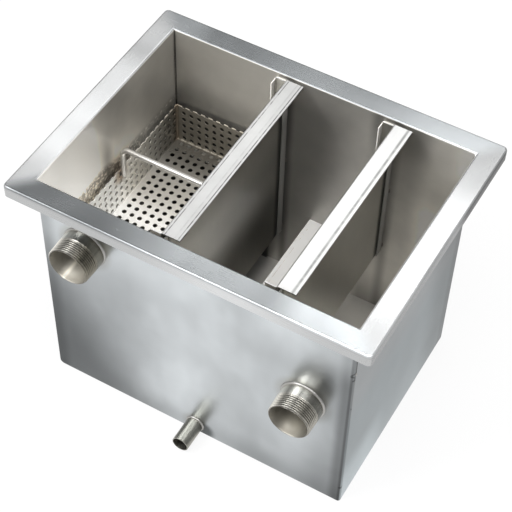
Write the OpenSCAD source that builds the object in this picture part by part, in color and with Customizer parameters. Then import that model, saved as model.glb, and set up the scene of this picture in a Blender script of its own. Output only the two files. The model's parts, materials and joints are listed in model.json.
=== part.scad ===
// Small under-sink grease trap: a welded sheet-steel tank with a turned-down rim, two lift-out baffles,
// a low weir and a perforated catch basket. Millimetres, +Z up, origin at the centre of the underside.
// The front wall, with the three pipe stubs, faces -Y. The long side runs along X.

/* [Tank] */
// Outside length of the tank, left to right
body_l = 350; // [320:1:450]
// Outside width of the tank, front to back
body_w = 250; // [200:1:350]
// Height from the underside to the top of the rim
body_h = 300; // [280:1:400]
// Thickness of the tank sheet
sheet_t = 1; // [0.8:0.1:1.5]
// Outside radius of the fold between the left wall and the floor
floor_fold_r = 5; // [3:0.5:8]
// Outside radius of the two right-hand upright corners
corner_r = 3; // [2:0.5:6]
// Width of the open slit at the top of each right-hand corner's seam
slit_w = 1.2; // [0.6:0.1:2]
// Length of the open slit, measured down from the rim's fold
slit_h = 70; // [20:1:90]

/* [Rim] */
// Width of the rim, from the inside of the wall to its outer edge
rim_w = 24.4; // [16:0.2:40]
// Height of the turned-down edge
rim_drop = 14; // [8:0.5:25]
// Outside radius of the two folds of the rim
rim_fold_r = 2.5; // [2:0.1:3.5]
// Radius of the rim's outer corners, seen from above
rim_corner_r = 5; // [4:0.5:10]

/* [Inlet and outlet nipples] */
// Outside diameter of the nipples, over the thread
nipple_d = 47.8; // [33:0.1:60]
// Wall of the nipples
nipple_wall = 2.9; // [2:0.1:4]
// Length of a nipple outside the front wall
nipple_out = 30; // [22:0.5:60]
// Length of a nipple inside the front wall
nipple_in = 3; // [1:0.5:10]
// Bevel at a nipple's open end
nipple_bevel = 0.8; // [0.3:0.1:1.5]
// Distance from the tank's ends to the nipples' axes
nipple_inset = 50.5; // [45:0.5:70]
// Distance from the rim's top down to the inlet's axis
inlet_drop = 71; // [60:1:85]
// Distance from the inlet's axis down to the outlet's axis
outlet_drop = 79; // [55:1:100]
// Leg of the fillet weld round a nipple
nipple_weld = 2; // [1:0.5:5]
// Play between a pipe and its hole in the wall, on the radius
pipe_play = 0.2; // [0.1:0.1:0.5]

/* [Drain tube] */
// Outside diameter of the drain tube
drain_d = 19; // [12:0.5:30]
// Wall of the drain tube
drain_wall = 1; // [0.8:0.1:2]
// Length of the drain tube outside the front wall
drain_out = 31; // [15:0.5:60]
// Length of the drain tube inside the front wall
drain_in = 3; // [1:0.5:10]
// Distance from the tank's underside up to the tube
drain_lift = 2.2; // [2:0.1:6]
// Distance from the tube's axis to the weir
drain_offset = 20; // [17:0.5:26]
// Leg of the fillet weld round the drain tube
drain_weld = 1.5; // [0.5:0.1:2]
// Bevel at the drain tube's open end
drain_bevel = 0.3; // [0.1:0.1:0.5]

/* [Baffle guides] */
// Outside width of a guide channel
guide_w = 16; // [12:0.5:22]
// Depth of a guide channel, out from the wall
guide_d = 12; // [8:0.5:18]
// Thickness of the guide channels
guide_t = 1; // [0.8:0.1:1.5]
// Outside radius of a guide channel's folds
guide_fold_r = 2; // [1.6:0.1:3]
// Distance from the rim's top down to the back guides
guide_top_gap = 7; // [5:0.5:15]
// Distance by which the front guides end lower than the back ones
guide_front_drop = 4; // [0:0.5:10]
// Height of the first guides' lower ends
guide_1_low = 60; // [45:1:75]
// Height of the second guides' lower ends
guide_2_low = 101; // [101:1:140]

/* [Baffles] */
// Length of the inlet chamber, from the left wall to the first baffle's right-hand face
inlet_chamber = 138; // [125:0.5:145]
// Length of the outlet chamber, from the second baffle's right-hand face to the right wall
outlet_chamber = 86.5; // [80:0.5:100]
// Thickness of the baffles
baffle_t = 1; // [0.8:0.1:1.5]
// Outside radius of the baffles' folds
baffle_fold_r = 2; // [1.6:0.1:3]
// Play of a baffle's edge in its guide, on each side
baffle_play = 0.5; // [0.3:0.1:1]
// Gap between a baffle's end and the back of its guide
baffle_end_gap = 3.5; // [1:0.5:6]
// Width of a baffle's top lip
lip_w = 20.8; // [12:0.2:30]
// Width of the hem under the lip's free edge
lip_hem = 4.5; // [3:0.5:8]
// Distance from the rim's top down to the lips
lip_gap = 1.5; // [1:0.5:5]
// Gap between a loose piece and what it stands on
rest_gap = 0.3; // [0.1:0.1:0.5]

/* [Weir] */
// Distance from the first baffle's right-hand face to the weir's right-hand face
weir_offset = 57; // [45:0.5:65]
// Height of the weir's top
weir_top = 98; // [70:1:110]
// Width of the weir's top lip
weir_lip_w = 21.8; // [10:0.2:25]

/* [Basket] */
// Thickness of the perforated sheet
basket_t = 1; // [0.8:0.1:1.5]
// Outside radius of the folds round the basket's floor
basket_fold_r = 2; // [1.6:0.1:3]
// Gap from the basket to the left wall and to the first guides
basket_side_gap = 3; // [2:0.5:8]
// Gap from the basket's front to the inlet's inner end
basket_end_gap = 1.5; // [1:0.5:10]
// Gap from the basket's top edge up to the inlet
basket_top_gap = 9.5; // [1:0.5:12]
// Diameter of the holes
hole_d = 5.4; // [3:0.1:6]
// Spacing of the holes
hole_pitch = 9.8; // [8:0.1:14]
// Full rows of holes in the basket's walls
wall_rows = 5; // [3:1:5]
// Distance from the top edge up to the centres of the row it is cut through
edge_cut = 0.7; // [0.2:0.1:1.5]
// Least distance from a hole's centre to a fold's end
hole_margin = 4.4; // [3.8:0.1:8]
// Metal left between the lowest holes of the walls and the fold
hole_web = 0.3; // [0.2:0.1:2]

/* [Basket handle] */
// Diameter of the handle's rod
rod_d = 6; // [4:0.5:8]
// Height of the rod's axis above the basket's top edge
handle_rise = 31.5; // [18:0.5:40]
// Length of the legs beside the basket's walls
handle_hold = 9; // [8:1:25]
// Radius of the rod's bends, on its axis
handle_bend_r = 9; // [6:0.5:14]
// Distance of the handle behind the basket's middle
handle_y = 7.5; // [-20:0.5:20]
// Gap between the legs and the basket's walls
handle_gap = 0.1; // [0:0.1:0.3]

/* [Basket supports] */
// Width of a support's flat leg
support_w = 20; // [14:0.5:30]
// Height of a support's upright leg
support_h = 15; // [10:0.5:25]
// Thickness of the supports
support_t = 1.5; // [1:0.1:2]
// Outside radius of a support's fold
support_fold_r = 3; // [2.5:0.1:5]

/* [Hidden] */
$fn = 64;

// Half sizes of the tank, outside and inside
out_x = body_l / 2;
out_y = body_w / 2;
in_x = out_x - sheet_t;
in_y = out_y - sheet_t;
// Height where the upright walls end and the rim's fold begins
wall_top = body_h - rim_fold_r;
// Centre of the rim's corner rounding, measured out from the inside of the walls
rim_core = rim_w - rim_corner_r;
// Reach of a cut past the faces it opens
cut = 1;

// Right-hand faces of the baffles' panels and of the weir
baffle_1_x = -in_x + inlet_chamber;
baffle_2_x = in_x - outlet_chamber;
weir_x = baffle_1_x + weir_offset;

// Bores and axes of the pipes
nipple_bore = nipple_d - 2 * nipple_wall;
nipple_x = out_x - nipple_inset;
inlet_z = body_h - inlet_drop;
outlet_z = inlet_z - outlet_drop;
drain_bore = drain_d - 2 * drain_wall;
drain_x = weir_x - baffle_t - drain_offset;
drain_z = drain_lift + drain_d / 2;

// Distance from a guide's left face to its baffle's right-hand face, and the guides' upper ends
guide_reach = guide_w - guide_t - baffle_play;
guide_back_high = body_h - guide_top_gap;
guide_front_high = guide_back_high - guide_front_drop;
// A baffle's returns fill its guide, less the play on both sides
return_w = guide_w - 2 * guide_t - 2 * baffle_play;
baffle_half = in_y - guide_t - baffle_end_gap;
lip_top = body_h - lip_gap;

// Basket outline and its holes
basket_left = -in_x + basket_side_gap;
basket_right = baffle_1_x - guide_reach - basket_side_gap;
basket_half = in_y - nipple_in - basket_end_gap;
hole_start = basket_fold_r + hole_web + hole_d / 2;
basket_h = hole_start + wall_rows * hole_pitch - edge_cut;
basket_top = inlet_z - nipple_d / 2 - basket_top_gap;
basket_z = basket_top - basket_h;

// Quarter of a ring, the section of one right-angle fold
module fold(r, t) {
    intersection() {
        difference() {
            circle(r);
            circle(r - t);
        }
        square(r);
    }
}

// Rectangle with its two right-hand corners rounded
module right_rounded(lo, hi, r) {
    translate(lo) square([hi[0] - r - lo[0], hi[1] - lo[1]]);
    translate([hi[0] - r, lo[1] + r]) square([r, hi[1] - lo[1] - 2 * r]);
    for (y = [lo[1] + r, hi[1] - r]) {
        intersection() {
            translate([hi[0] - r, y]) circle(r);
            translate([hi[0] - r, lo[1]]) square([r, hi[1] - lo[1]]);
        }
    }
}

// Section of the rim: first coordinate out from the inside of the wall, second coordinate the height
module rim_section() {
    translate([rim_fold_r, wall_top]) mirror([1, 0]) fold(rim_fold_r, sheet_t);
    translate([rim_fold_r, body_h - sheet_t]) square([rim_w - 2 * rim_fold_r, sheet_t]);
    translate([rim_w - rim_fold_r, wall_top]) fold(rim_fold_r, sheet_t);
    translate([rim_w - sheet_t, body_h - rim_drop]) square([sheet_t, rim_drop - rim_fold_r]);
}

// One side of the rim along X, facing +Y, mitred to its neighbours on the diagonals.
// run is half the opening along the side, off is the distance of the wall's inside from the middle.
module rim_side(run, off) {
    end = run + rim_core;
    intersection() {
        translate([0, off, 0]) rotate([90, 0, 90]) linear_extrude(2 * end, center = true) rim_section();
        linear_extrude(body_h)
            polygon([[-run, off], [run, off], [end, off + rim_core], [end, off + rim_w],
                     [-end, off + rim_w], [-end, off + rim_core]]);
    }
    for (m = [0, 1])
        mirror([m, 0, 0])
            translate([-end, off + rim_core, 0])
                rotate([0, 0, 90])
                    rotate_extrude(angle = 45)
                        intersection() {
                            translate([-rim_core, 0]) rim_section();
                            square([rim_corner_r, body_h]);
                        }
}

// Long wall with its rim, facing +Y, folded round the right-hand upright corner
module long_wall() {
    rim_side(in_x, in_y);
    linear_extrude(wall_top) translate([-out_x, in_y]) square([body_l - corner_r, sheet_t]);
    linear_extrude(wall_top) translate([out_x - corner_r, out_y - corner_r]) fold(corner_r, sheet_t);
}

// Takes away the tank's lower left corner, so that a long wall follows the fold of the floor
module lower_left_cut() {
    rotate([90, 0, 0])
        linear_extrude(body_w + 2 * cut, center = true)
            difference() {
                translate([-out_x - cut, -cut]) square(floor_fold_r + cut);
                translate([-out_x + floor_fold_r, floor_fold_r]) circle(floor_fold_r);
            }
}

// Cylinder along Y through the front wall
module front_hole(x, z, r) {
    translate([x, -in_y + cut, z]) rotate([90, 0, 0]) cylinder(r = r, h = sheet_t + 2 * cut);
}

module front_panel() {
    color("silver")
        difference() {
            mirror([0, 1, 0]) long_wall();
            lower_left_cut();
            front_hole(-nipple_x, inlet_z, nipple_d / 2 + pipe_play);
            front_hole(nipple_x, outlet_z, nipple_d / 2 + pipe_play);
            front_hole(drain_x, drain_z, drain_d / 2 + pipe_play);
        }
}

module back_panel() {
    color("silver")
        difference() {
            long_wall();
            lower_left_cut();
        }
}

// Right wall with its rim, standing between the two rounded corners, with the open slits at its top
module right_panel() {
    half = out_y - corner_r;
    color("silver") {
        rotate([0, 0, -90]) rim_side(in_y, in_x);
        difference() {
            translate([in_x, -half, 0]) cube([sheet_t, 2 * half, wall_top]);
            for (y = [-half, half])
                translate([in_x - cut, y - slit_w, wall_top - slit_h])
                    cube([sheet_t + 2 * cut, 2 * slit_w, slit_h]);
        }
    }
}

// Left wall, its rim and the floor, folded from one sheet
module left_and_floor_sheet() {
    color("silver") {
        rotate([0, 0, 90]) rim_side(in_y, in_x);
        translate([-out_x, -in_y, floor_fold_r]) cube([sheet_t, 2 * in_y, wall_top - floor_fold_r]);
        translate([-out_x + floor_fold_r, 0, floor_fold_r])
            rotate([90, 0, 0])
                linear_extrude(2 * in_y, center = true) rotate(180) fold(floor_fold_r, sheet_t);
        linear_extrude(sheet_t)
            right_rounded([-out_x + floor_fold_r, -in_y], [in_x, in_y], corner_r);
    }
}

// Pipe stub through the front wall, with its fillet weld outside: radius first, then distance from the wall
module pipe_stub(d, bore, out, in, weld, bevel) {
    translate([0, -out_y, 0])
        rotate([90, 0, 0])
            rotate_extrude()
                polygon([[bore / 2, -sheet_t - in], [d / 2, -sheet_t - in], [d / 2, 0], [d / 2 + weld, 0],
                         [d / 2, weld], [d / 2, out - bevel], [d / 2 - bevel, out], [bore / 2, out]]);
}

module inlet_nipple() {
    color("lightgray")
        translate([-nipple_x, 0, inlet_z])
            pipe_stub(nipple_d, nipple_bore, nipple_out, nipple_in, nipple_weld, nipple_bevel);
}

module outlet_nipple() {
    color("lightgray")
        translate([nipple_x, 0, outlet_z])
            pipe_stub(nipple_d, nipple_bore, nipple_out, nipple_in, nipple_weld, nipple_bevel);
}

module drain_tube() {
    color("lightgray")
        translate([drain_x, 0, drain_z])
            pipe_stub(drain_d, drain_bore, drain_out, drain_in, drain_weld, drain_bevel);
}

// Guide channel on the back wall for a baffle whose right-hand face is at face, open towards -Y,
// with a stop folded across its lower end
module guide(face, low, high) {
    x = face - guide_reach;
    color("gray") {
        translate([0, in_y, low])
            linear_extrude(high - low) {
                translate([x + guide_fold_r, -guide_t]) square([guide_w - 2 * guide_fold_r, guide_t]);
                translate([x, -guide_d]) square([guide_t, guide_d - guide_fold_r]);
                translate([x + guide_w - guide_t, -guide_d]) square([guide_t, guide_d - guide_fold_r]);
                translate([x + guide_fold_r, -guide_fold_r]) mirror([1, 0]) fold(guide_fold_r, guide_t);
                translate([x + guide_w - guide_fold_r, -guide_fold_r]) fold(guide_fold_r, guide_t);
            }
        translate([x + guide_t, in_y - guide_d, low])
            cube([guide_w - 2 * guide_t, guide_d - guide_t, guide_t]);
    }
}

module guide_1_back() { guide(baffle_1_x, guide_1_low, guide_back_high); }

module guide_2_back() { guide(baffle_2_x, guide_2_low, guide_back_high); }

module guide_1_front() { mirror([0, 1, 0]) guide(baffle_1_x, guide_1_low, guide_front_high); }

module guide_2_front() { mirror([0, 1, 0]) guide(baffle_2_x, guide_2_low, guide_front_high); }

// Section of a top lip with its hem, folded from a panel whose outer face is at 0: along X and up
module lip_section(w, hem) {
    translate([baffle_fold_r, -baffle_fold_r]) mirror([1, 0]) fold(baffle_fold_r, baffle_t);
    translate([baffle_fold_r, -baffle_t]) square([w - baffle_fold_r - baffle_t, baffle_t]);
    translate([w - baffle_t, -baffle_t])
        intersection() {
            circle(baffle_t);
            translate([0, -baffle_t]) square([baffle_t, 2 * baffle_t]);
        }
    translate([w - hem, -2 * baffle_t]) square([hem - baffle_t, baffle_t]);
}

// Lift-out baffle: a panel with its right-hand face at x, side returns towards -X that fill the guides,
// and a hemmed lip towards +X. stop is the height of the guides' lower ends.
module baffle(x, stop) {
    low = stop + guide_t + rest_gap;
    high = lip_top - baffle_fold_r;
    flat = baffle_half - baffle_fold_r;
    color("gainsboro") {
        translate([0, 0, low])
            linear_extrude(high - low) {
                translate([x - baffle_t, -flat]) square([baffle_t, 2 * flat]);
                for (m = [0, 1])
                    mirror([0, m]) {
                        translate([x - baffle_fold_r, flat]) fold(baffle_fold_r, baffle_t);
                        translate([x - return_w, baffle_half - baffle_t])
                            square([return_w - baffle_fold_r, baffle_t]);
                    }
            }
        translate([x - baffle_t, 0, lip_top])
            rotate([90, 0, 0])
                linear_extrude(2 * baffle_half, center = true) lip_section(lip_w, lip_hem);
    }
}

module baffle_1() { baffle(baffle_1_x, guide_1_low); }

module baffle_2() { baffle(baffle_2_x, guide_2_low); }

// Low fixed weir across the tank, with its lip towards the inlet
module weir_plate() {
    color("gray")
        translate([weir_x, 0, weir_top])
            rotate([90, 0, 0])
                linear_extrude(2 * in_y, center = true)
                    mirror([1, 0]) {
                        lip_section(weir_lip_w, lip_hem);
                        translate([0, sheet_t - weir_top]) square([baffle_t, weir_top - sheet_t - baffle_fold_r]);
                    }
}

// Angle on the back wall that carries one end of the basket
module basket_support_back() {
    color("gray")
        translate([basket_left, in_y, basket_z - rest_gap])
            rotate([90, 0, 90])
                linear_extrude(basket_right - basket_left) {
                    translate([-support_w, -support_t]) square([support_w - support_fold_r, support_t]);
                    translate([-support_fold_r, -support_fold_r]) fold(support_fold_r, support_t);
                    translate([-support_t, -support_h]) square([support_t, support_h - support_fold_r]);
                }
}

module basket_support_front() { mirror([0, 1, 0]) basket_support_back(); }

// Centres of as many holes as fit a span, spaced evenly about its middle
function hole_row(lo, hi) =
    let (room = hi - lo - 2 * hole_margin, n = floor(room / hole_pitch))
    [for (i = [0:n]) (lo + hi) / 2 + (i - n / 2) * hole_pitch];

// Flat stretch of perforated sheet from lo to hi
module perforated(lo, hi, columns, rows) {
    linear_extrude(basket_t)
        difference() {
            translate(lo) square(hi - lo);
            for (x = columns, y = rows)
                translate([x, y]) circle(d = hole_d, $fn = 24);
        }
}

// Perforated basket: floor and four walls, folded up round the floor, the top edge cut through a row of holes
module basket() {
    left = basket_left + basket_fold_r;
    right = basket_right - basket_fold_r;
    half = basket_half - basket_fold_r;
    columns = hole_row(left, right);
    rows = hole_row(-half, half);
    heights = [for (k = [0:wall_rows]) hole_start + k * hole_pitch];
    color("lightgray")
        translate([0, 0, basket_z]) {
            perforated([left, -half], [right, half], columns, rows);
            for (m = [0, 1])
                mirror([0, m, 0]) {
                    translate([0, basket_half, 0])
                        rotate([90, 0, 0])
                            perforated([left, basket_fold_r], [right, basket_h], columns, heights);
                    translate([left, half, basket_fold_r])
                        rotate([90, 0, 90])
                            linear_extrude(right - left) mirror([0, 1]) fold(basket_fold_r, basket_t);
                }
            for (x = [basket_left, basket_right - basket_t])
                translate([x, 0, 0])
                    rotate([90, 0, 90])
                        perforated([-half, basket_fold_r], [half, basket_h], rows, heights);
            for (side = [[left, 180], [right, 270]])
                translate([side[0], 0, basket_fold_r])
                    rotate([90, 0, 0])
                        linear_extrude(2 * half, center = true)
                            rotate(side[1]) fold(basket_fold_r, basket_t);
            for (side = [[left, 1], [right, 0]], m = [0, 1])
                mirror([0, m, 0])
                    translate([side[0], half, basket_fold_r])
                        mirror([side[1], 0, 0])
                            linear_extrude(basket_h - basket_fold_r) fold(basket_fold_r, basket_t);
        }
}

// Bent rod whose legs stand inside the basket's left and right walls
module basket_handle() {
    left = basket_left + basket_t + handle_gap + rod_d / 2;
    right = basket_right - basket_t - handle_gap - rod_d / 2;
    low = basket_top - handle_hold;
    high = basket_top + handle_rise;
    bend = high - handle_bend_r;
    color("lightgray")
        translate([0, handle_y, 0]) {
            for (x = [left, right])
                translate([x, 0, low]) cylinder(d = rod_d, h = bend - low);
            translate([left + handle_bend_r, 0, high])
                rotate([0, 90, 0]) cylinder(d = rod_d, h = right - left - 2 * handle_bend_r);
            for (side = [[left + handle_bend_r, 90], [right - handle_bend_r, 0]])
                translate([side[0], 0, bend])
                    rotate([90, 0, 0])
                        rotate([0, 0, side[1]])
                            rotate_extrude(angle = 90) translate([handle_bend_r, 0]) circle(d = rod_d);
        }
}

front_panel();
back_panel();
right_panel();
left_and_floor_sheet();
inlet_nipple();
outlet_nipple();
drain_tube();
guide_1_front();
guide_1_back();
guide_2_front();
guide_2_back();
baffle_1();
baffle_2();
weir_plate();
basket_support_front();
basket_support_back();
basket();
basket_handle();
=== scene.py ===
import json
import math

import bpy
from mathutils import Matrix, Vector


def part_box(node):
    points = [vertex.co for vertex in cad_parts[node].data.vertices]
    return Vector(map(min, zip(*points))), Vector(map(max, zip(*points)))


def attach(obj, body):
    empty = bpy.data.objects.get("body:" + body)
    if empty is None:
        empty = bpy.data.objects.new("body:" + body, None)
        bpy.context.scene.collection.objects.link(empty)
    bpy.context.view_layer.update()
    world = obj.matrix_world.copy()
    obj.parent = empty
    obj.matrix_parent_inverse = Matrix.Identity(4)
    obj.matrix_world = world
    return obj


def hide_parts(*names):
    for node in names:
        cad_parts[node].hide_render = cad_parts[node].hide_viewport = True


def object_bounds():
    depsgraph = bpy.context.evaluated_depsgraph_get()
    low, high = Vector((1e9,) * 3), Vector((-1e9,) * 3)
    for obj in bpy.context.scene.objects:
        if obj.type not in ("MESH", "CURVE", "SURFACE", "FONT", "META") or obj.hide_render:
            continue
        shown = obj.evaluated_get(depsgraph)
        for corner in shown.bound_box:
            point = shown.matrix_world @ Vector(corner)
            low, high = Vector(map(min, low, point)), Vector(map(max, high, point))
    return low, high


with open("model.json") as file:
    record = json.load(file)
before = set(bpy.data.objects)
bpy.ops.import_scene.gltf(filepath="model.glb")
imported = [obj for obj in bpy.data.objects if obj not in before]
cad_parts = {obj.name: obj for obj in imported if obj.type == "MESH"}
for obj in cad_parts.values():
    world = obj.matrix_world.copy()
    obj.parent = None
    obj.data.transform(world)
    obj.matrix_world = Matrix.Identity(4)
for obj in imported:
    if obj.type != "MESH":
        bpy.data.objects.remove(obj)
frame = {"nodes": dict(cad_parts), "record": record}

cad_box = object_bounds()
nodes = frame["nodes"]
scene = bpy.context.scene
scene.view_settings.view_transform = "Standard"


# Sizes and places of the part, in millimetres, from the frame where it gives them

MM = 0.001


def corners(node):
    """Lowest and highest corner of a node at rest."""
    return [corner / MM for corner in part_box(node)]


def pipe(name):
    """Place of a pipe's axis along the front wall and above the floor, and the pipe's radius."""
    mount = next(m for m in frame["record"]["mounts"] if m["name"] == name)
    return mount["pos_m"][0] / MM, mount["pos_m"][2] / MM, mount["dims"]["r_mm"]


# Half length and half width over the outer and the inner faces of the walls
OUT_X, OUT_Y, SHEET = 175.0, 125.0, 1.0
IN_X, IN_Y = OUT_X - SHEET, OUT_Y - SHEET

# Rim: its top and the lower end of its turned-down edge
TOP = round(cad_box[1].z / MM, 3)
RIM_LOW = TOP - 15.0

INLET_X, INLET_Z, NIPPLE_R = pipe("inlet")
OUTLET_X, OUTLET_Z = pipe("outlet")[:2]
DRAIN_X, DRAIN_Z, DRAIN_R = pipe("drain")
NIPPLE_OUT = round(-corners("inlet_nipple")[0].y - OUT_Y, 3)
NIPPLE_BORE = 21.0

# Pipe thread: pitch, depth, where it starts, how far it takes to reach its depth, and its crests
PITCH, THREAD_DEPTH, THREAD_FROM, THREAD_RUN = 2.309, 1.35, 11.5, 3.5
CREST_R = NIPPLE_R - 0.5

BASKET_LOW, BASKET_HIGH = corners("basket")
HANDLE_LOW, HANDLE_HIGH = corners("basket_handle")
LEG_Y = round((HANDLE_LOW.y + HANDLE_HIGH.y) / 2.0, 3)
HOLE_PITCH = 9.8
LIP_WIDTH = 20.8
GUIDES = ("guide_1_front", "guide_1_back", "guide_2_front", "guide_2_back")
GUIDE_1_LOW, GUIDE_1_HIGH = corners("guide_1_back")
GUIDE_2_LOW, GUIDE_2_HIGH = corners("guide_2_back")
WEIR_LOW, WEIR_HIGH = corners("weir_plate")


# Shader building

# Colour sockets of a Mix node
MIX_FACTOR, MIX_A, MIX_B, MIX_RESULT = 0, 6, 7, 2

# Metres of relief for one step of height
RELIEF = 0.0003


class Value:
    """A number in a shader's node tree; arithmetic on it adds Math nodes."""

    def __init__(self, tree, socket):
        self.tree = tree
        self.socket = socket

    def operate(self, operation, *others):
        node = self.tree.nodes.new("ShaderNodeMath")
        node.operation = operation
        for slot, item in zip(node.inputs, (self,) + others):
            if isinstance(item, Value):
                self.tree.links.new(item.socket, slot)
            else:
                slot.default_value = item
        return Value(self.tree, node.outputs[0])

    def __add__(self, other):
        return self.operate("ADD", other)

    def __sub__(self, other):
        return self.operate("SUBTRACT", other)

    def __mul__(self, other):
        return self.operate("MULTIPLY", other)

    def __rsub__(self, other):
        return (self * -1.0) + other

    __radd__ = __add__
    __rmul__ = __mul__

    def abs(self):
        return self.operate("ABSOLUTE")

    def clamp(self):
        return self.operate("MAXIMUM", 0.0).operate("MINIMUM", 1.0)

    def root(self):
        return self.operate("SQRT")

    def step(self, low, high):
        """0 below low, 1 above high, smooth between; low may be the higher number."""
        node = self.tree.nodes.new("ShaderNodeMapRange")
        node.interpolation_type = "SMOOTHSTEP"
        self.tree.links.new(self.socket, node.inputs["Value"])
        node.inputs["From Min"].default_value = min(low, high)
        node.inputs["From Max"].default_value = max(low, high)
        node.inputs["To Min"].default_value = 0.0 if low < high else 1.0
        node.inputs["To Max"].default_value = 1.0 if low < high else 0.0
        return Value(self.tree, node.outputs["Result"])

    def near(self, centre, width):
        """1 at centre, falling smoothly to 0 at width away."""
        return (self - centre).abs().step(width, 0.0)


def blend(first, second, amount):
    return first + (second - first) * amount


class Steel:
    """A metal material; tone, roughness and relief are sums over the part's own coordinates, in mm."""

    def __init__(self, name, color, rough):
        self.material = bpy.data.materials.new(name)
        self.material.use_nodes = True
        self.tree = self.material.node_tree
        self.bsdf = self.tree.nodes["Principled BSDF"]
        self.color = color
        self.rough_level = rough
        self.tints = []
        self.place = self.tree.nodes.new("ShaderNodeTexCoord").outputs["Object"]
        self.x, self.y, self.z = (value * (1.0 / MM) for value in self.split(self.place))
        geometry = self.tree.nodes.new("ShaderNodeNewGeometry")
        self.nx, self.ny, self.nz = self.split(geometry.outputs["True Normal"])

    def split(self, vector):
        node = self.tree.nodes.new("ShaderNodeSeparateXYZ")
        self.tree.links.new(vector, node.inputs[0])
        return [Value(self.tree, socket) for socket in node.outputs]

    def noise(self, scale, detail=2.0, seed=0.0):
        """Noise from 0 to 1; scale is cycles per metre, one number or one for each axis."""
        spread = self.tree.nodes.new("ShaderNodeMapping")
        spread.inputs["Scale"].default_value = scale if isinstance(scale, tuple) else (scale,) * 3
        spread.inputs["Location"].default_value = (seed, seed * 0.7, seed * 1.3)
        self.tree.links.new(self.place, spread.inputs["Vector"])
        node = self.tree.nodes.new("ShaderNodeTexNoise")
        node.inputs["Scale"].default_value = 1.0
        node.inputs["Detail"].default_value = detail
        self.tree.links.new(spread.outputs[0], node.inputs["Vector"])
        return Value(self.tree, node.outputs["Fac"])

    def tint(self, amount, color):
        """Adds a tint of another colour where amount is above 0: stains and heat tint, and in places
        painted shade.
        """
        self.tints.append((amount, color))

    def multiply(self, first, second, factor):
        """Multiplies one colour by another; each of the three is a socket or a plain value."""
        node = self.tree.nodes.new("ShaderNodeMix")
        node.data_type = "RGBA"
        node.blend_type = "MULTIPLY"
        for slot, item in ((MIX_FACTOR, factor), (MIX_A, first), (MIX_B, second)):
            if isinstance(item, bpy.types.NodeSocket):
                self.tree.links.new(item, node.inputs[slot])
            else:
                node.inputs[slot].default_value = item
        return node.outputs[MIX_RESULT]

    def finish(self, tone, rough, relief, depth=RELIEF, metal=1.0):
        """tone multiplies the colour, and relief is the height in steps of depth metres."""
        gray = self.tree.nodes.new("ShaderNodeCombineColor")
        for slot in gray.inputs[:3]:
            self.tree.links.new(tone.socket, slot)
        color = self.multiply((*self.color, 1.0), gray.outputs[0], 1.0)
        for amount, tint_color in self.tints:
            color = self.multiply(color, (*tint_color, 1.0), amount.socket)
        bump = self.tree.nodes.new("ShaderNodeBump")
        bump.inputs["Strength"].default_value = 1.0
        bump.inputs["Distance"].default_value = depth
        self.tree.links.new(relief.socket, bump.inputs["Height"])
        if isinstance(metal, Value):
            self.tree.links.new(metal.socket, self.bsdf.inputs["Metallic"])
        else:
            self.bsdf.inputs["Metallic"].default_value = metal
        self.tree.links.new(color, self.bsdf.inputs["Base Color"])
        self.tree.links.new(rough.socket, self.bsdf.inputs["Roughness"])
        self.tree.links.new(bump.outputs[0], self.bsdf.inputs["Normal"])
        return self.material


GRAIN_ALONG, GRAIN_ACROSS = 30.0, 1600.0


def sheet_steel(name, color, rough, grain):
    """Satin sheet: fine grain along one axis, soft mottling, and slower drift and waviness."""
    s = Steel(name, color, rough)
    s.grain = s.noise(tuple(GRAIN_ALONG if axis == grain else GRAIN_ACROSS for axis in "xyz"))
    s.cloud = s.noise(22.0, detail=3.0, seed=3.0)
    s.smear = s.noise(7.0, seed=9.0)
    s.drift = s.noise(11.0, detail=3.0, seed=21.0)
    return s


def hole_wave(place):
    """Rises from 0 to 1 and falls back once for each pitch of the basket's holes."""
    return (place * (1.0 / HOLE_PITCH)).operate("FRACT").near(0.5, 0.5)


# Materials of the tank's sheets, inside and outside

WARM, BROWNER = (1.0, 0.960, 0.892), (0.98, 0.91, 0.82)
COOL, COOLER = (0.945, 0.98, 1.0), (0.93, 0.985, 1.0)
SHADOW_AND_SOOT, STRAW = (0.25, 0.26, 0.26), (0.72, 0.69, 0.64)


def past_mitre(s):
    """0 on the front and back flanges, 1 on the left and right ones, soft across the mitres."""
    return (s.x.abs() - s.y.abs() - (OUT_X - OUT_Y)).step(-16.0, 16.0)


def painted_rim_reflection(s):
    """Painted reflection on the four flanges: light and dark bands, run together softly at the mitres."""
    front = 0.36 + 0.47 * s.x.step(-95.0, 0.0) + 0.58 * s.x.step(85.0, 135.0)
    back = (0.38 + 0.20 * s.x.step(-130.0, -160.0) + 0.16 * s.x.step(-95.0, -10.0)
            + 0.52 * s.x.step(30.0, 172.0))
    left = (1.10 + 0.16 * s.y.near(-80.0, 35.0) - 0.20 * s.y.step(-40.0, 15.0)
            - 0.18 * s.y.step(40.0, 75.0) + 0.10 * s.y.step(75.0, 100.0))
    right = 1.20 - 0.18 * s.y.step(-70.0, -20.0) - 0.28 * s.y.step(30.0, 120.0)
    sides = blend(left, right, s.x.step(-20.0, 20.0))
    ends = blend(front, back, s.y.step(-20.0, 20.0))
    return blend(ends, sides, past_mitre(s))


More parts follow.
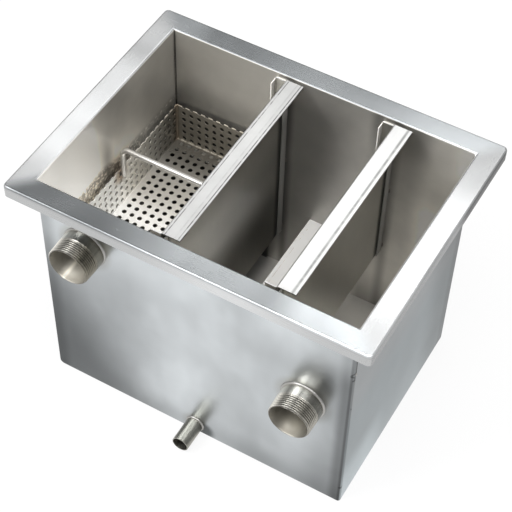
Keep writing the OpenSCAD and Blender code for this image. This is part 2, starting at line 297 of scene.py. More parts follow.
def front_painted_shade(s):
    """Front wall, painted reflection and shade: darker by the left corner and by the floor, darker toward
    the right corner where a ground strip runs, paler near the top.
    """
    left = 1.0 - 0.52 * (s.x + 0.5 * s.z).step(-15.0, -120.0)
    left = left * (1.0 - 0.26 * s.x.step(-156.0, -170.0))
    middle = 1.0 - 0.10 * s.x.near(60.0, 70.0)
    smears = s.noise((17.0, 17.0, 10.0), seed=44.0).step(0.42, 0.66)
    haze = 0.80 + 0.32 * s.noise((17.0, 17.0, 6.0), detail=3.0, seed=31.0) + 0.15 * smears
    # Painted shade toward the right corner, over the ground strip that runs by the corner
    ground_strip_and_shade = 0.35 * s.x.step(110.0, 155.0) + 0.30 * s.x.step(157.0, 168.0)
    right = 1.0 - ground_strip_and_shade * (1.0 - 0.4 * s.z.step(200.0, 250.0))
    low = (1.0 - (0.26 - 0.3 * s.x.step(-80.0, -140.0)) * s.z.step(45.0, 5.0)
           - 0.18 * s.z.step(110.0, 40.0) * s.x.step(10.0, 90.0))
    high = 0.16 * s.z.step(200.0, 245.0)
    return left * middle * haze * right * (low + high) * (0.81 + 0.38 * s.drift)


def right_painted_reflection(s):
    """Right wall, painted reflection: a pale patch low at the front, and darker to the back."""
    pale = 0.40 * s.z.step(80.0, 30.0) * s.y.step(-20.0, -70.0)
    dull = 0.30 * s.y.step(40.0, 105.0) + 0.12 * s.y.step(104.0, 114.0)
    return (0.76 + pale - dull) * (0.84 + 0.32 * s.drift)


def left_inner_painted_light(s):
    """Left wall inside, painted light and shade: pale by the front, darker at the back, a darker upright
    band, and just above the basket a dark strip with bright dashes.
    """
    run = 1.30 - 0.56 * (s.y + 0.75 * s.z - 210.0).step(-55.0, 30.0)
    front = 1.0 + 1.05 * s.y.step(-10.0, -75.0) + 0.6 * s.y.step(-80.0, -112.0) * s.z.step(245.0, 275.0)
    painted_band = 1.0 - 0.48 * s.y.near(-10.0, 15.0) * s.z.step(275.0, 225.0)
    middle = 1.0 + 0.32 * s.y.near(45.0, 50.0)
    ragged = 0.25 + 0.75 * s.noise(260.0, seed=6.0).step(0.30, 0.55)
    above = s.z - BASKET_HIGH.z
    # Just above the basket: a painted dark reflection of the gap beside it, with painted glints at its
    # holes
    dark_reflection = (above - 9.0 * s.y.step(10.0, -20.0)).step(17.4, 6.4)
    dark_reflection = dark_reflection * (0.72 - 0.36 * s.y.step(30.0, 70.0)) * ragged
    painted_light = above.near(8.9, 2.0) * hole_wave(s.y).step(0.45, 0.65)
    return run * front * painted_band * middle * (1.0 - dark_reflection) * (1.0 + 0.5 * painted_light)


def back_inner_painted_shade(s):
    """Back wall inside, chamber by chamber, painted light and shade: darker beside the guides and low down,
    paler to the right of each chamber.
    """
    first = 0.75 - 0.01 * s.z.step(285.0, 255.0) - 0.24 * s.z.step(245.0, 205.0)
    first = first * (1.0 - 0.2 * s.x.step(-145.0, -170.0) * s.z.step(285.0, 250.0))
    second = (0.54 + 0.42 * s.x.step(0.0, 62.0) * (0.50 + 0.50 * s.z.step(140.0, 240.0))
              + 0.26 * s.z.step(258.0, 294.0) * s.x.step(62.0, 0.0))
    third = (0.86 + 0.36 * s.x.step(108.0, 134.0)) * (0.34 + 0.66 * s.z.step(-10.0, 80.0))
    third = third * (1.0 + 0.25 * s.z.step(225.0, 180.0)
                     + 0.2 * s.x.step(145.0, 170.0) * s.z.step(240.0, 275.0)
                     - 0.4 * s.x.step(142.0, 112.0) * s.z.step(235.0, 280.0))
    # Painted shade on the wall at the foot of each guide
    foot = 1.0 - 0.5 * s.x.near(GUIDE_1_HIGH.x + 0.5, 9.0) - 0.4 * s.x.near(GUIDE_2_HIGH.x + 0.5, 10.0)
    first_two = blend(first, second, s.x.step(GUIDE_1_LOW.x + 2.5, GUIDE_1_HIGH.x - 3.5))
    return blend(first_two, third, s.x.step(GUIDE_2_LOW.x - 17.0, GUIDE_2_LOW.x - 5.0)) * foot


def inner_painted_shade(s):
    """Inner faces: each wall by itself; painted shade round and below the basket and on the floor to the
    right, dark left-hand seams, and a painted highlight along the top fold.
    """
    floor = s.nz.step(0.5, 0.9) * s.z.step(8.0, 4.0)
    wall = blend(back_inner_painted_shade(s), left_inner_painted_light(s), s.x.step(4.0 - IN_X, 0.5 - IN_X))
    # Painted shade: on the floor to the right, below the basket, and on the walls beside it
    base = 1.0 - 0.45 * s.x.step(10.0, 40.0)
    below = s.x.step(-40.0, -57.0) * s.z.step(BASKET_LOW.z - 2.3, BASKET_LOW.z - 6.3)
    by_wall = (s.y.abs() - (IN_Y - 3.0) + s.x.step(2.0 - IN_X, 1.0 - IN_X) * 60.0).step(0.0, 1.0)
    beside = s.x.step(BASKET_HIGH.x + 3.5, BASKET_HIGH.x - 0.5) * by_wall
    beside = beside * s.z.step(BASKET_HIGH.z - 6.6, BASKET_HIGH.z - 10.6)
    seam = s.x.step(1.8 - IN_X, 0.8 - IN_X) * s.y.abs().step(IN_Y - 1.8, IN_Y - 0.8)
    dark = (1.0 - 0.5 * below) * (1.0 - 0.75 * beside) * (1.0 - 0.6 * seam)
    # Painted highlight along the fold at the top of the opening
    fold = 1.0 + 1.2 * s.z.step(TOP - 2.4, TOP - 0.8)
    mottle = (0.82 + 0.36 * s.drift) * (0.85 + 0.30 * s.noise(30.0, seed=15.0))
    return blend(wall, base, floor) * fold * dark * mottle


def around_axis(s, x, z, reach, far):
    """Rises from 0 at far to 1 at reach, round an axis that stands out of the front wall."""
    across = s.x - x
    up = s.z - z
    return (across * across + up * up).root().step(far, reach)


def tank_material(name, grain):
    """Sheet of the tank; outer walls, rim and inner faces are told apart by place and direction, and each
    gets its own painted reflections and shade.
    """
    s = sheet_steel(name, (0.63, 0.637, 0.64), 0.30, grain)
    outward = s.nx * s.x * (1.0 / OUT_X) + s.ny * s.y * (1.0 / OUT_Y)
    within = s.x.abs().step(OUT_X - 0.3, OUT_X - 0.7) * s.y.abs().step(OUT_Y - 0.3, OUT_Y - 0.7)
    inside = within * outward.step(0.3, 0.1) * s.nz.step(-0.5, -0.3)
    outside = 1.0 - inside
    rim = s.z.step(RIM_LOW - 1.0, RIM_LOW + 1.0) * outside
    top = s.z.step(TOP - 3.0, TOP - 0.4) * outside
    edge = s.z.step(TOP - 6.0, TOP - 3.0) * s.z.step(TOP - 0.05, TOP - 0.6) * outside
    facing_front = (s.ny * -1.0).step(0.5, 0.9) * outside
    facing_right = s.nx.step(0.5, 0.9) * outside

    wall = (1.0 + (front_painted_shade(s) - 1.0) * facing_front) * (1.0 + (right_painted_reflection(s) - 1.0) * facing_right)
    by_front = s.y.step(4.5 - OUT_Y, 2.5 - OUT_Y)
    # Painted shade over the rounded front-right corner, and pits along its seam
    corner = s.x.step(OUT_X - 4.5, OUT_X - 2.5) * by_front * outside
    pits = s.noise(95.0, detail=1.0, seed=4.0).step(0.68, 0.70)
    pits = pits * s.x.step(OUT_X - 5.0, OUT_X - 2.5) * by_front
    wall = wall * (1.0 - 0.42 * corner) * (1.0 - 0.6 * pits)
    # Turned-down edge, painted reflection: paler mid-front, darker to the back on the right
    down = (0.83 + 0.33 * s.x.near(50.0, 140.0) * facing_front
            - 0.64 * s.y.step(25.0, 60.0) * facing_right)
    painted_band = blend(down, painted_rim_reflection(s) * (0.90 + 0.20 * s.cloud), top)
    shade = blend(blend(wall, painted_band, rim), 1.18 * inner_painted_shade(s), inside)
    tone = (0.95 + 0.04 * s.grain + 0.06 * s.cloud) * shade

    s.tint(inside, WARM)
    # Left wall inside, just above the basket at the front: a browner, slightly darker tint
    brown_band = s.x.step(2.0 - IN_X, 0.5 - IN_X) * s.y.step(40.0, 10.0)
    brown_band = brown_band * s.z.step(BASKET_HIGH.z + 26.4, BASKET_HIGH.z + 10.4)
    s.tint(inside * brown_band, BROWNER)
    s.tint(outside * (1.0 - rim) + top * (1.0 - past_mitre(s)), COOL)
    s.tint(facing_right * s.z.step(190.0, 130.0), COOLER)
    # Dark patch by the drain: painted shadow of the tube, with a burnt stain
    s.tint(around_axis(s, DRAIN_X + 9.0, DRAIN_Z - 4.7, 8.0, 18.0) * facing_front, SHADOW_AND_SOOT)
    burnt = (around_axis(s, INLET_X, INLET_Z, 25.0, 34.0) + around_axis(s, OUTLET_X, OUTLET_Z, 25.0, 36.0)
             + around_axis(s, DRAIN_X, DRAIN_Z, 10.0, 19.0))
    s.tint(burnt.clamp() * facing_front * (0.35 + 0.6 * s.cloud), STRAW)

    rough = s.rough_level - 0.05 + 0.08 * s.cloud + 0.03 * s.grain
    rough = rough - 0.04 * rim + 0.10 * inside + 0.22 * edge
    relief = 0.0012 * s.grain + 4.0 * s.smear
    return s.finish(tone, rough, relief, depth=0.0004, metal=1.0 - 0.22 * inside)


# Materials of the pieces inside and of the pipes

def plain_material(name, color, rough, grain, metal=1.0):
    """Plain steel of the rod, the supports and the welds."""
    s = sheet_steel(name, color, rough, grain)
    tone = 0.90 + 0.06 * s.grain + 0.16 * s.cloud
    rough = s.rough_level - 0.06 + 0.12 * s.cloud
    return s.finish(tone, rough, 0.01 * s.grain + 2.0 * s.smear, metal=metal)


def first_face_light(s):
    """Panel of the first baffle, painted light and shade: paler low at the front, dark at the back."""
    return (0.42 + 0.32 * s.z.step(190.0, 245.0) + 0.48 * (s.y + 0.4 * (s.z - 200.0)).step(45.0, -65.0)
            - 0.15 * s.z.step(215.0, 250.0) * s.y.step(20.0, -20.0))


def second_face_light(s):
    """Panel of the second baffle, painted light: paler low at the front."""
    return 0.88 + 0.55 * (s.y + 0.55 * (s.z - 218.0)).step(-25.0, -70.0)


def baffle_material(name, node, marks, light_level, face):
    """Sheet of a baffle, with painted shadow strips at its edges where it sits in the guides, and painted
    light on its lip.

    A mark is a fold line in painted shade: distance from the lip's left edge, width, depth, and how broken
    it is.
    """
    s = sheet_steel(name, (0.70, 0.70, 0.69), 0.30, "y")
    high = corners(node)[1]
    from_left = s.x - (high.x - LIP_WIDTH)
    lip = s.z.step(high.z - 3.5, high.z - 2.0) * s.nz.step(0.5, 0.9)
    fader = s.noise((40.0, 110.0, 40.0), detail=3.0, seed=8.0)
    line = 1.0
    for place, width, depth, broken in marks:
        whole = 1.0 - broken + broken * fader.step(0.36, 0.56)
        line = line * (1.0 - depth * from_left.near(place, width) * whole)
    # Painted shadow strips at the panel's front and back edges, in the gaps by the guides
    painted_light = face(s) * (1.0 - 0.8 * s.y.abs().step(high.y - 17.0, high.y - 10.0))
    panel = blend(0.85, painted_light, s.nx.step(0.0, 0.5)) * (0.80 + 0.24 * s.drift)
    patch = 0.86 + 0.28 * s.noise((60.0, 26.0, 60.0), detail=4.0, seed=17.0)
    # Painted light on the lip: its level, and paler toward the front
    top = (light_level + 0.14 * s.y.step(-60.0, -112.0)) * line * patch
    tone = (0.88 + 0.05 * s.grain + 0.12 * s.cloud + 0.08 * fader) * blend(panel, top, lip)
    s.tint(1.0 - lip, (1.0, 0.98, 0.93))
    return s.finish(tone, s.rough_level - 0.05 + 0.10 * s.cloud, 0.006 * s.grain + 1.5 * s.smear)


def basket_material():
    """Perforated sheet, painted light: bright inside and at the front, darker to the back, with painted
    highlights along its top edge and back fold; straw and brown by the welds of the handle and of the
    corners.
    """
    s = sheet_steel("perforated_sheet", (0.86, 0.85, 0.82), 0.28, "y")
    left = s.nx.step(0.5, 0.9) * s.x.step(BASKET_LOW.x + 11.0, BASKET_LOW.x + 3.0)
    # Painted light on the floor and on the left wall's inner face
    shown = (s.nz.step(0.5, 0.9) + left * (0.55 + 0.6 * s.y.near(25.0, 40.0))).clamp()
    bright = 0.45 - 0.32 * s.y.step(0.0, 60.0) - 0.13 * s.y.step(50.0, 100.0)
    light_fall = (1.0 - 0.25 * s.y.step(0.0, 40.0) - 0.55 * s.y.step(25.0, 110.0)
            + shown * bright + 0.12 * s.y.step(BASKET_HIGH.y - 4.0, BASKET_HIGH.y - 2.0))
    # Painted highlight dashes along the floor's back fold, added to the top edge's highlight
    back_fold = s.y.step(BASKET_HIGH.y - 3.1, BASKET_HIGH.y - 2.1)
    back_fold = back_fold * s.z.step(BASKET_LOW.z + 3.5, BASKET_LOW.z + 2.1)
    edge_highlight = s.z.step(BASKET_HIGH.z - 1.3, BASKET_HIGH.z - 0.4)
    edge_highlight = edge_highlight + 0.5 * back_fold * hole_wave(s.x).step(0.12, 0.3)
    tone = (0.73 + 0.10 * s.cloud + 0.05 * s.grain) * blend(light_fall, 0.95, edge_highlight.clamp())

    s.tint(s.y.step(-10.0, 50.0) * 0.5 + s.y.step(70.0, 118.0) * 0.5, (1.0, 0.93, 0.80))
    for x in (BASKET_LOW.x + 2.5, BASKET_HIGH.x - 2.5):
        offsets = (s.x - x, s.y - (LEG_Y - 1.5), s.z - (HANDLE_LOW.z + 1.4))
        foot = sum(offset * offset for offset in offsets).root()
        s.tint(foot.step(17.0, 5.0) * 0.85, (0.46, 0.34, 0.24))
    from_middle = (s.x - (BASKET_LOW.x + BASKET_HIGH.x) / 2.0).abs()
    corner = (s.y.abs() - (BASKET_HIGH.y - 0.5)).abs() + from_middle.step(58.0, 46.0) * 60.0
    s.tint(corner.step(13.0, 3.0) * (0.3 + 0.7 * s.cloud), (0.66, 0.54, 0.44))
    return s.finish(tone, s.rough_level - 0.05 + 0.12 * s.cloud, 0.01 * s.grain + 1.0 * s.smear, metal=0.35)


def turned_material(name, x, z, scald_and_shade):
    """Turned pipe: painted reflection streaks along it, painted shade in the thread's grooves and by the
    wall, a painted highlight on the left, scald and shade on the right.
    """
    s = sheet_steel(name, (0.64, 0.62, 0.565), 0.27, "y")
    side = s.x - x
    out = s.y * -1.0 - OUT_Y
    angle = (s.z - z).operate("ARCTAN2", side)
    phase = (out * (1.0 / PITCH) - angle * (0.5 / math.pi)).operate("FRACT")
    groove = (1.0 - (2.0 * phase - 1.0).abs()).step(0.15, 0.8)
    groove = groove * out.step(THREAD_FROM, THREAD_FROM + THREAD_RUN)
    # Streaks along the pipe are painted reflections, placed at random
    streak = s.noise((190.0, 8.0, 190.0), detail=3.0, seed=5.0)
    # The grooves' painted shade is weaker on the right side
    fader = 1.0 - 0.5 * side.step(4.0, 14.0)
    left_highlight = 1.0 + 0.75 * side.step(-5.0, -17.0)
    tone = (0.30 + 1.0 * streak) * (1.0 - 0.72 * groove * fader) * (0.85 + 0.3 * s.cloud)
    # Painted shade close to the wall
    tone = tone * left_highlight * (1.0 - 0.35 * out.step(6.0, 0.5))
    # Right side: scald tint mixed with painted shade
    s.tint(scald_and_shade * side.step(1.0, 13.0) * (0.75 + 0.5 * s.cloud).clamp(), (0.40, 0.38, 0.32))
    return s.finish(tone, s.rough_level - 0.05 + 0.12 * s.cloud, 0.01 * s.grain)


def bore_material(name, x, streak, shade):
    """Inside of a pipe: dull straw, with painted shade on its left, on its right and deeper in, and a
    painted highlight streak along it.
    """
    s = sheet_steel(name, (0.74, 0.70, 0.61), 0.34, "y")
    side = s.x - x
    out = s.y * -1.0 - OUT_Y
    # Painted shade deeper in the bore, and darker at the end face
    mouth = (0.70 + 0.3 * out.step(7.0, 25.0)) * (1.0 - 0.45 * out.step(NIPPLE_OUT - 1.4, NIPPLE_OUT - 0.4))
    tone = (0.74 + 0.4 * s.cloud) * mouth * (1.0 - 0.5 * side.step(*shade))
    tone = tone * (1.0 + streak * side.near(-7.0, 3.2)) * (1.0 - 0.5 * side.step(6.0, 18.0))
    return s.finish(tone, s.rough_level + 0.1 * s.cloud, 0.01 * s.grain + 0.5 * s.smear, metal=0.6)


def tube_material():
    """Drain tube: drawn, scratched along its length and dull."""
    s = sheet_steel("tube_steel", (0.51, 0.50, 0.445), 0.32, "y")
    streak = s.noise((320.0, 20.0, 320.0), detail=3.0, seed=5.0)
    speck = s.noise(420.0, seed=12.0)
    tone = (0.35 + 0.65 * streak) * (0.75 + 0.5 * speck)
    return s.finish(tone, s.rough_level + 0.12 * speck, 0.05 * streak, depth=0.0004)


def guide_material():
    """Guide channels: painted shade, darker low down and at the foot by the wall, lighter on the webs, with
    painted highlights on the cut edges and tops.
    """
    s = sheet_steel("guide_sheet", (0.64, 0.625, 0.595), 0.32, "z")
    free_edge = (s.y.abs() - GUIDE_1_LOW.y).abs().step(0.6, 0.2)
    edge_highlight = free_edge * s.z.step(262.0, 272.0) + s.nz.step(0.5, 0.9)
    face = blend(0.42 + 0.7 * s.z.step(235.0, 275.0), 1.4, edge_highlight.clamp())
    # Painted shade at the guide's foot by the wall
    foot = s.y.abs().step(IN_Y - 4.0, IN_Y - 1.0) * s.z.step(285.0, 265.0) * s.nx.step(0.3, 0.7)
    web = s.ny.abs().step(0.5, 0.9) * s.z.step(225.0, 265.0)
    tone = (0.88 + 0.06 * s.grain + 0.12 * s.cloud) * face * (1.0 - 0.6 * foot) * (1.0 + 0.7 * web)
    return s.finish(tone, s.rough_level + 0.10 * s.cloud, 0.01 * s.grain + 1.0 * s.smear, metal=0.25)


def weir_material():
    """Weir: bright satin sheet, with painted light paler to the back and a painted highlight along the
    lip's left edge.
    """
    s = sheet_steel("weir_sheet", (0.90, 0.89, 0.87), 0.38, "y")
    edge = s.x.step(WEIR_LOW.x + 2.2, WEIR_LOW.x + 1.2) * s.z.step(WEIR_HIGH.z - 2.0, WEIR_HIGH.z - 1.0)
    dash = s.x.near(WEIR_LOW.x + 4.8, 0.8) * s.noise((40.0, 150.0, 40.0), seed=8.0).step(0.45, 0.6)
    tone = (0.84 + 0.05 * s.grain + 0.14 * s.cloud) * (1.04 + 0.22 * s.y.step(5.0, 35.0))
    tone = tone * (1.0 + 0.16 * edge - 0.3 * dash)
    return s.finish(tone, s.rough_level + 0.1 * s.cloud, 0.01 * s.grain + 1.0 * s.smear, metal=0.25)


# Fold lines painted as shade on each lip: distance from the left edge, width, depth, how broken
LIP_1_MARKS = ((4.0, 0.8, 0.8, 0.7), (14.2, 1.5, 0.16, 0.8), (18.1, 0.9, 0.85, 0.5))
LIP_2_MARKS = ((1.0, 0.5, 0.3, 0.5), (16.4, 2.4, 0.62, 0.3))

tank_x = tank_material("tank_sheet_x", "x")
tank_y = tank_material("tank_sheet_y", "y")
guide_steel = guide_material()
inner_steel = plain_material("inner_sheet", (0.64, 0.625, 0.595), 0.34, "z")
inlet_steel = turned_material("inlet_steel", INLET_X, INLET_Z, scald_and_shade=0.85)
outlet_steel = turned_material("outlet_steel", OUTLET_X, OUTLET_Z, scald_and_shade=0.3)
inlet_bore = bore_material("inlet_bore", INLET_X, streak=0.7, shade=(-8.0, -14.0))
outlet_bore = bore_material("outlet_bore", OUTLET_X, streak=0.0, shade=(0.0, -15.0))
weld_steel = plain_material("weld_metal", (0.47, 0.46, 0.44), 0.42, "y")
# Tacks inside the tank: weld metal painted darker to match the shade in there
tack_steel = plain_material("tack_metal", (0.24, 0.23, 0.21), 0.45, "z")
seam_steel = plain_material("seam_metal", (0.13, 0.125, 0.115), 0.5, "z")


def dress(material, *names):
    for name in names:
        slots = nodes[name].data.materials
        slots.clear()
        slots.append(material)


dress(tank_x, "front_panel", "back_panel")
dress(tank_y, "right_panel", "left_and_floor_sheet")
dress(guide_steel, *GUIDES)
dress(inner_steel, "basket_support_front", "basket_support_back")
dress(weir_material(), "weir_plate")
# The two baffles share one steel; their lips' level and their face shading are painted light
dress(baffle_material("baffle_sheet_1", "baffle_1", LIP_1_MARKS, 0.86, first_face_light), "baffle_1")
dress(baffle_material("baffle_sheet_2", "baffle_2", LIP_2_MARKS, 1.12, second_face_light), "baffle_2")
dress(basket_material(), "basket")
dress(plain_material("rod_steel", (0.60, 0.585, 0.555), 0.36, "x", metal=0.8), "basket_handle")
dress(tube_material(), "drain_tube")


# Pieces made here: threads, welds, seams and tacks

def add_mesh(name, verts, faces, material, body):
    mesh = bpy.data.meshes.new(name)
    mesh.from_pydata([tuple(c * MM for c in v) for v in verts], [], faces)
    mesh.update()
    for polygon in mesh.polygons:
        polygon.use_smooth = True
    mesh.materials.append(material)
    piece = bpy.data.objects.new(name, mesh)
    scene.collection.objects.link(piece)
    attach(piece, body)
    return piece


def smooth(u):
    u = min(1.0, max(0.0, u))
    return u * u * (3.0 - 2.0 * u)


def ring_mesh(rings, x, z, segments, closed):
    """Joins rings about a pipe's axis; a ring gives distance from the front wall and radius by angle."""
    verts, faces = [], []
    for ring in rings:
        for k in range(segments):
            angle = 2.0 * math.pi * k / segments
            out, radius = ring(angle)
            verts.append((x + radius * math.cos(angle), -OUT_Y - out, z + radius * math.sin(angle)))
    count = len(rings)
    for i in range(count if closed else count - 1):
        a, b = i * segments, ((i + 1) % count) * segments
        for k in range(segments):
            n = (k + 1) % segments
            faces.append((a + k, a + n, b + n, b + k))
    return verts, faces


def plain_ring(out, radius):
    return lambda angle: (out, radius)


def thread_ring(out):
    """Ring of the thread: a slightly tapered screw that fades in, with a bevelled end."""

    def ring(angle):
        phase = (out / PITCH - angle / (2.0 * math.pi)) % 1.0
        groove = smooth((1.0 - abs(2.0 * phase - 1.0)) * 1.15 - 0.08)
        fade = smooth((out - THREAD_FROM) / THREAD_RUN)
        taper = max(0.0, out - THREAD_FROM - 1.0) / 32.0
        bevel = max(0.0, out - NIPPLE_OUT + 1.3) * 0.9
        return out, CREST_R - taper - max(groove * THREAD_DEPTH * fade, bevel)

    return ring


NIPPLE_SEGMENTS, STEPS_PER_TURN = 128, 11
NIPPLE_IN = 4.0


def nipple(name, node, x, z, material, bore):
    """Threaded pipe through the front wall; its mouth and its inside take the bore's material."""
    length = NIPPLE_OUT - THREAD_FROM
    count = int(length / PITCH * STEPS_PER_TURN)
    rings = [plain_ring(-NIPPLE_IN, NIPPLE_BORE)]
    rings += [plain_ring(out, CREST_R) for out in (-NIPPLE_IN, 0.0, 6.0)]
    rings += [thread_ring(THREAD_FROM + length * i / count) for i in range(count + 1)]
    mouth = len(rings) - 1
    rings += [plain_ring(NIPPLE_OUT - back, NIPPLE_BORE + flare)
              for back, flare in ((0.0, 0.5), (0.4, 0.12), (1.2, 0.0))]
    verts, faces = ring_mesh(rings, x, z, NIPPLE_SEGMENTS, closed=True)
    piece = add_mesh(name, verts, faces, material, "tank")
    piece.data.materials.append(bore)
    for polygon in piece.data.polygons:
        if polygon.index // NIPPLE_SEGMENTS >= mouth:
            polygon.material_index = 1
    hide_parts(node)


nipple("inlet_thread", "inlet_nipple", INLET_X, INLET_Z, inlet_steel, inlet_bore)
nipple("outlet_thread", "outlet_nipple", OUTLET_X, OUTLET_Z, outlet_steel, outlet_bore)


WELD_ROWS, WELD_SEGMENTS = 12, 240


def weld_ring(name, x, z, radius, leg, ripples):
    """Fillet bead round a pipe, with the scales a torch leaves."""

    def bead(along):
        turn = along * math.pi / 2.0

        def ring(angle):
            scale = (angle * ripples / (2.0 * math.pi) + 0.6 * along) % 1.0
            swell = (1.0 + 0.10 * (scale ** 0.6 - 0.5)
                     + 0.06 * math.sin(3.0 * angle + 1.0) + 0.05 * math.sin(7.0 * angle))
            return leg * swell * math.sin(turn), radius + leg * swell * math.cos(turn)

        return ring

    rings = [bead(-0.15 + 1.3 * i / WELD_ROWS) for i in range(WELD_ROWS + 1)]
    verts, faces = ring_mesh(rings, x, z, WELD_SEGMENTS, closed=False)
    add_mesh(name, verts, faces, weld_steel, "tank")


weld_ring("inlet_weld", INLET_X, INLET_Z, CREST_R, leg=1.5, ripples=44)
weld_ring("outlet_weld", OUTLET_X, OUTLET_Z, CREST_R, leg=1.9, ripples=40)
weld_ring("drain_weld", DRAIN_X, DRAIN_Z, DRAIN_R, leg=1.4, ripples=22)


BEAD_SIDES = 10


def beads(name, runs, material, body):
    """Weld beads: runs of (start, end, radius), each a rippled string that thins to its ends."""
    verts, faces = [], []
    for start, end, radius in runs:
        start, end = Vector(start), Vector(end)
        along = (end - start).normalized()
        across = along.orthogonal().normalized()
        other = along.cross(across)
        count = max(6, int((end - start).length / (0.45 * radius)))
        bluntness = 8 if count > 12 else 2
        base = len(verts)
        for i in range(count + 1):
            u = i / count
            thin = math.sqrt(max(0.0, 1.0 - abs(2.0 * u - 1.0) ** bluntness))
            ripple = 1.0 + 0.12 * math.sin(2.1 * i) + 0.06 * math.sin(0.7 * i)
            size = radius * (0.08 + 0.92 * thin) * ripple
            middle = start + (end - start) * u
            for k in range(BEAD_SIDES):
                angle = 2.0 * math.pi * k / BEAD_SIDES
                verts.append(tuple(middle + size * (math.cos(angle) * across + math.sin(angle) * other)))
        for i in range(count):
            a = base + i * BEAD_SIDES
            b = a + BEAD_SIDES
            for k in range(BEAD_SIDES):
                n = (k + 1) % BEAD_SIDES
                faces.append((a + k, a + n, b + n, b + k))
        last = base + count * BEAD_SIDES
        faces.append(tuple(base + k for k in reversed(range(BEAD_SIDES))))
        faces.append(tuple(last + k for k in range(BEAD_SIDES)))
    add_mesh(name, verts, faces, material, body)


def upright(x, y, low, high, radius):
    """A run of weld that stands upright."""
    return (x, y, low), (x, y, high), radius


# Left seams fill the inner corners; the right ones lie behind the slits by the right corners
SIDES = (-1.0, 1.0)
SEAM_X, SEAM_Y = IN_X - 0.6, IN_Y - 0.6
SLIT_X, SLIT_Y, SLIT_LOW = 172.9, 121.4, 226.2

beads("left_seams", [upright(-SEAM_X, side * SEAM_Y, 7.0, TOP - 6.0, 1.0) for side in SIDES],
      seam_steel, "tank")
beads("right_seams", [upright(SLIT_X, side * SLIT_Y, 8.0, TOP - 4.0, 1.1) for side in SIDES],
      seam_steel, "tank")
beads("slit_ends",
      [upright(OUT_X - 0.3, side * SLIT_Y, SLIT_LOW - 2.0, SLIT_LOW + 2.0, 1.2) for side in SIDES],
      weld_steel, "tank")

# Tacks on both sides of the handle's legs
TACK_Y = 2.9
beads("handle_tacks",
      [upright(x, LEG_Y + side * TACK_Y, HANDLE_LOW.z + 0.6, HANDLE_LOW.z + 5.9, 1.5)
       for x in (HANDLE_LOW.x + 0.7, HANDLE_HIGH.x - 0.7) for side in SIDES],
      seam_steel, "catch_basket")


def guide_tacks(node):
    """Three tacks on each side of a guide, where it meets the wall."""
    low, high = corners(node)
    y = math.copysign(IN_Y - 0.7, low.y)
    heights = (low.z + 8.0, (low.z + high.z) / 2.0, high.z - 10.0)
    return [upright(x, y, z - 3.0, z + 3.0, 1.2) for x in (low.x, high.x) for z in heights]


def weir_tacks(side):
    """Three tacks on each face of the weir's plate, where it meets a wall."""
    y = side * (IN_Y - 0.8)
    faces = (WEIR_HIGH.x - 1.2, WEIR_HIGH.x + 0.2)
    return [upright(x, y, z - 4.0, z + 4.0, 1.1) for x in faces for z in (16.0, 48.0, 80.0)]


tacks = [tack for node in GUIDES for tack in guide_tacks(node)]
tacks += [tack for side in SIDES for tack in weir_tacks(side)]
beads("inner_tacks", tacks, tack_steel, "tank")


# Floor, light and camera, in metres

FLOOR_HALF, FLOOR_Z = 6.0, -0.0004
FLOOR_GRAY = 0.86


def floor_material():
    """White to the camera, with a soft shadow; darker in reflections at the left front and the right."""
    material = bpy.data.materials.new("pale_floor")
    material.use_nodes = True
    tree = material.node_tree
    tree.nodes.clear()
    out = tree.nodes.new("ShaderNodeOutputMaterial")
    diffuse = tree.nodes.new("ShaderNodeBsdfDiffuse")
    diffuse.inputs["Color"].default_value = (FLOOR_GRAY, FLOOR_GRAY, FLOOR_GRAY, 1.0)
    glow = tree.nodes.new("ShaderNodeEmission")
    path = tree.nodes.new("ShaderNodeLightPath")
    camera = Value(tree, path.outputs["Is Camera Ray"])
    glossy = Value(tree, path.outputs["Is Glossy Ray"])
    through = Value(tree, path.outputs["Is Transmission Ray"])
    amount = (camera * 0.86 + glossy * 0.8 + through * 0.86).clamp()
    spot = tree.nodes.new("ShaderNodeSeparateXYZ")
    tree.links.new(tree.nodes.new("ShaderNodeTexCoord").outputs["Object"], spot.inputs[0])
    x, y = (Value(tree, socket) for socket in spot.outputs[:2])
    away = ((x + 0.22) * (x + 0.22) + (y + 0.13) * (y + 0.13)).root()
    behind = (x - 0.15).step(0.0, 0.06) * (y + 0.16).step(0.0, 0.05)
    shade = (1.0 - 0.7 * away.step(0.19, 0.03)) * (1.0 - 0.4 * behind)
    light_level = camera + (1.0 - camera) * (0.92 * shade)
    tree.links.new(light_level.socket, glow.inputs["Strength"])
    mix = tree.nodes.new("ShaderNodeMixShader")
    tree.links.new(amount.socket, mix.inputs[0])
    tree.links.new(diffuse.outputs[0], mix.inputs[1])
    tree.links.new(glow.outputs[0], mix.inputs[2])
    tree.links.new(mix.outputs[0], out.inputs[0])
    return material


def lay_floor():
    ends = (-FLOOR_HALF, FLOOR_HALF)
    mesh = bpy.data.meshes.new("floor")
    mesh.from_pydata([(x, y, FLOOR_Z) for y in ends for x in ends], [], [(0, 1, 3, 2)])
    mesh.materials.append(floor_material())
    floor = bpy.data.objects.new("floor", mesh)
    scene.collection.objects.link(floor)


# Direction, from the part, of one dark patch in the surround, which the flat rim mirrors
DARK_PATCH = (-0.467, 0.477, 0.745)


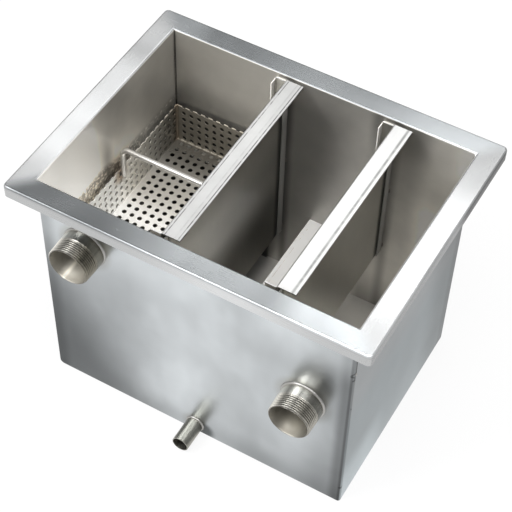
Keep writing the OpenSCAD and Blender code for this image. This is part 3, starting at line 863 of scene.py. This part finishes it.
def light_studio():
    """Surround: white to the camera, and to the part a soft gray, paler overhead, with one dark patch."""
    world = bpy.data.worlds.new("studio")
    scene.world = world
    world.use_nodes = True
    tree = world.node_tree
    tree.nodes.clear()
    out = tree.nodes.new("ShaderNodeOutputWorld")
    surround = tree.nodes.new("ShaderNodeBackground")
    white = tree.nodes.new("ShaderNodeBackground")
    path = tree.nodes.new("ShaderNodeLightPath")
    direction = tree.nodes.new("ShaderNodeSeparateXYZ")
    tree.links.new(tree.nodes.new("ShaderNodeTexCoord").outputs["Generated"], direction.inputs[0])
    axes = [Value(tree, socket) for socket in direction.outputs]
    toward = sum(axis * share for axis, share in zip(axes, DARK_PATCH))
    light_level = (0.45 + 0.35 * axes[2].step(0.0, 0.7)) * (1.0 - 0.62 * toward.step(0.93, 0.99))
    tree.links.new(light_level.socket, surround.inputs["Strength"])
    mix = tree.nodes.new("ShaderNodeMixShader")
    tree.links.new(path.outputs["Is Camera Ray"], mix.inputs[0])
    tree.links.new(surround.outputs[0], mix.inputs[1])
    tree.links.new(white.outputs[0], mix.inputs[2])
    tree.links.new(mix.outputs[0], out.inputs[0])


def softbox(name, place, target, width, depth, power):
    light = bpy.data.lights.new(name, "AREA")
    light.shape = "RECTANGLE"
    light.size = width
    light.size_y = depth
    light.energy = power
    lamp = bpy.data.objects.new(name, light)
    scene.collection.objects.link(lamp)
    lamp.location = place
    lamp.rotation_euler = (Vector(target) - Vector(place)).to_track_quat("-Z", "Y").to_euler()


# Camera of the photograph: angles in degrees, focal length in pixels, sensor in millimetres
AZIMUTH, ELEVATION, ROLL = (math.radians(angle) for angle in (28.505, 50.504, 1.815))
CAMERA_DISTANCE = 1591.83 * MM
CAMERA_TARGET = Vector((-11.20, 19.99, 135.0)) * MM
FOCAL, IMAGE_SIZE, SENSOR = 1496.99, 512.0, 36.0


def photo_camera():
    light_level = math.cos(ELEVATION)
    back = Vector((math.sin(AZIMUTH) * light_level, -math.cos(AZIMUTH) * light_level, math.sin(ELEVATION)))
    flat_right = (-back).cross(Vector((0, 0, 1))).normalized()
    flat_up = flat_right.cross(-back)
    right = math.cos(ROLL) * flat_right + math.sin(ROLL) * flat_up
    up = -math.sin(ROLL) * flat_right + math.cos(ROLL) * flat_up
    data = bpy.data.cameras.new("camera")
    data.sensor_width = SENSOR
    data.lens = FOCAL / IMAGE_SIZE * SENSOR
    data.clip_start = 0.05
    data.clip_end = 50.0
    camera = bpy.data.objects.new("camera", data)
    scene.collection.objects.link(camera)
    place = CAMERA_TARGET + back * CAMERA_DISTANCE
    camera.matrix_world = Matrix((
        (right.x, up.x, back.x, place.x), (right.y, up.y, back.y, place.y),
        (right.z, up.z, back.z, place.z), (0, 0, 0, 1)))
    scene.camera = camera


lay_floor()
light_studio()
softbox("window", (-0.4, 1.375, 2.0), (-0.4, 1.3751, 0.0), width=2.6, depth=0.45, power=8.8)
softbox("key", (-1.3, -1.4, 2.2), (0.0, 0.0, 0.15), width=1.2, depth=1.2, power=40.0)
softbox("fill", (0.5, -0.5, 2.4), (0.0, 0.0, 0.2), width=1.5, depth=1.5, power=40.0)
photo_camera()
